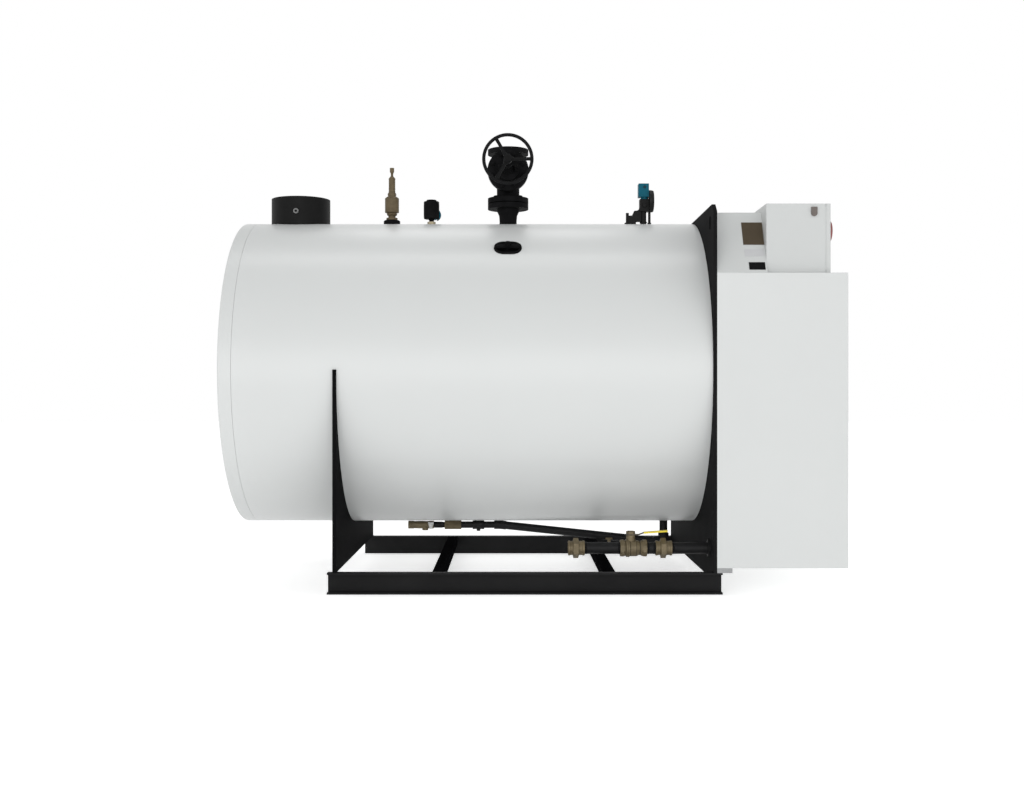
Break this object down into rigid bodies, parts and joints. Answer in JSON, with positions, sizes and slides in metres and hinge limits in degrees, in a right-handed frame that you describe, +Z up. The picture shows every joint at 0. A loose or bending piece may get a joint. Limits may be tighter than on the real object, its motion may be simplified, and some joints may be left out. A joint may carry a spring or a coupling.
{
  "type": "industrial boiler",
  "caption": "Horizontal fire-tube steam boiler with a white jacket on a black skid, a front enclosure with control cabinet, a flue collar, a steam globe valve and feed and drain piping.",
  "frame": {"origin": "on the floor under the middle of the length, on the shell's centre plane", "axes": "+X along the shell toward the control end, +Z up, -Y toward the side with the handwheel and the feed line"},
  "size_m": [2.2336, 1.198, 1.689],
  "materials": {
    "jacket_white": "satin white powder coat",
    "enclosure_white": "fine-textured white powder coat",
    "skid_black": "satin black paint",
    "flue_black": "matt black heat-resistant paint",
    "port_steel": "dull steel",
    "vessel_steel": "primed steel plate",
    "bronze": "dull cast bronze",
    "valve_black": "black painted casting",
    "stem_dark": "blackened and oiled steel",
    "stem_steel": "bright turned steel",
    "handle_white": "white enamel",
    "vent_brass": "dull brass",
    "teal_plastic": "moulded teal plastic",
    "trim_black": "black malleable iron",
    "gauge_black": "black case",
    "pipe_black": "black steel pipe",
    "brass": "dull forged brass",
    "grip_yellow": "dipped yellow vinyl",
    "bracket_zinc": "zinc plate",
    "plate_brown": "printed foil left blank",
    "plate_white": "printed foil left blank",
    "plate_black": "printed foil left blank",
    "latch_grey": "dull die casting",
    "switch_grey": "moulded grey plastic",
    "switch_red": "moulded red plastic"
  },
  "bodies": {
    "boiler": {"jacket": "jacket_white", "rear_cover": "jacket_white", "enclosure_wrap": "enclosure_white", "enclosure_front_panel": "enclosure_white", "hood": "enclosure_white", "control_cabinet": "enclosure_white", "near_base_rail": "skid_black", "far_base_rail": "skid_black", "cross_tubes": "skid_black", "rear_saddle_plate": "skid_black", "front_plate": "skid_black", "flue_collar": "flue_black", "flue_test_port": "port_steel", "pressure_vessel": "vessel_steel", "smoke_box": "vessel_steel", "safety_valve": "bronze", "safety_valve_base": "valve_black", "steam_nozzle": "valve_black", "steam_valve_body": "valve_black", "valve_bonnet_and_yoke": "valve_black", "handhole_sleeve": "valve_black", "handhole_cover": "valve_black", "handhole_yoke": "valve_black", "air_vent": "valve_black", "hinge_leaves": "stem_steel", "air_vent_base": "vent_brass", "air_vent_cap": "teal_plastic", "pressure_transmitter": "teal_plastic", "trim_pipes": "trim_black", "trim_manifold": "trim_black", "pressure_gauge": "gauge_black", "feed_pipe": "pipe_black", "feed_pipe_collar": "pipe_black", "drain_pipes": "pipe_black", "drain_elbows": "pipe_black", "drain_tee": "pipe_black", "drain_reducer": "pipe_black", "feed_unions": "brass", "feed_valve_body": "brass", "drain_coupling": "brass", "drain_valve_body": "brass", "drain_pipe_clip": "brass", "enclosure_brackets": "bracket_zinc", "hood_brown_plate": "plate_brown", "hood_white_plate": "plate_white", "hood_black_plate": "plate_black", "cabinet_latch": "latch_grey"},
    "valve_stem": {"valve_stem": "stem_dark"},
    "handwheel": {"handwheel": "valve_black"},
    "feed_lever": {"feed_valve_lever": "stem_steel", "feed_lever_cap": "brass", "feed_lever_grip": "grip_yellow"},
    "drain_handle": {"drain_valve_handle": "handle_white"},
    "cabinet_door": {"cabinet_door": "enclosure_white", "switch_bezel": "switch_grey"},
    "switch_knob": {"switch_knob": "switch_red"}
  },
  "joints": [
    {"name": "stem_rise", "type": "slide", "parent": "boiler", "child": "valve_stem", "axis": [0, -1, 0], "range_m": [0, 0.0171]},
    {"name": "handwheel_turn", "type": "hinge", "parent": "valve_stem", "child": "handwheel", "pos_m": [-0.0866, -0.333, 1.59], "axis": [0, -1, 0], "range_deg": [0, 1530]},
    {"name": "feed_lever_turn", "type": "hinge", "parent": "boiler", "child": "feed_lever", "pos_m": [0.35625, -0.51, 0.2024], "axis": [0, 0, 1], "range_deg": [-90, 0]},
    {"name": "drain_handle_turn", "type": "hinge", "parent": "boiler", "child": "drain_handle", "pos_m": [-0.3946, -0.028, 0.186], "axis": [0, -1, 0], "range_deg": [0, 90]},
    {"name": "cabinet_door_swing", "type": "hinge", "parent": "boiler", "child": "cabinet_door", "pos_m": [1.04515, 0.58, 1.262], "axis": [0, 0, 1], "range_deg": [0, 110]},
    {"name": "switch_turn", "type": "hinge", "parent": "cabinet_door", "child": "switch_knob", "pos_m": [1.07075, -0.524, 1.2925], "axis": [1, 0, 0], "range_deg": [-90, 0]}
  ],
  "couplings": [
    {"joint": "stem_rise", "follows": "handwheel_turn", "m_per_rad": 0.00063662}
  ]
}
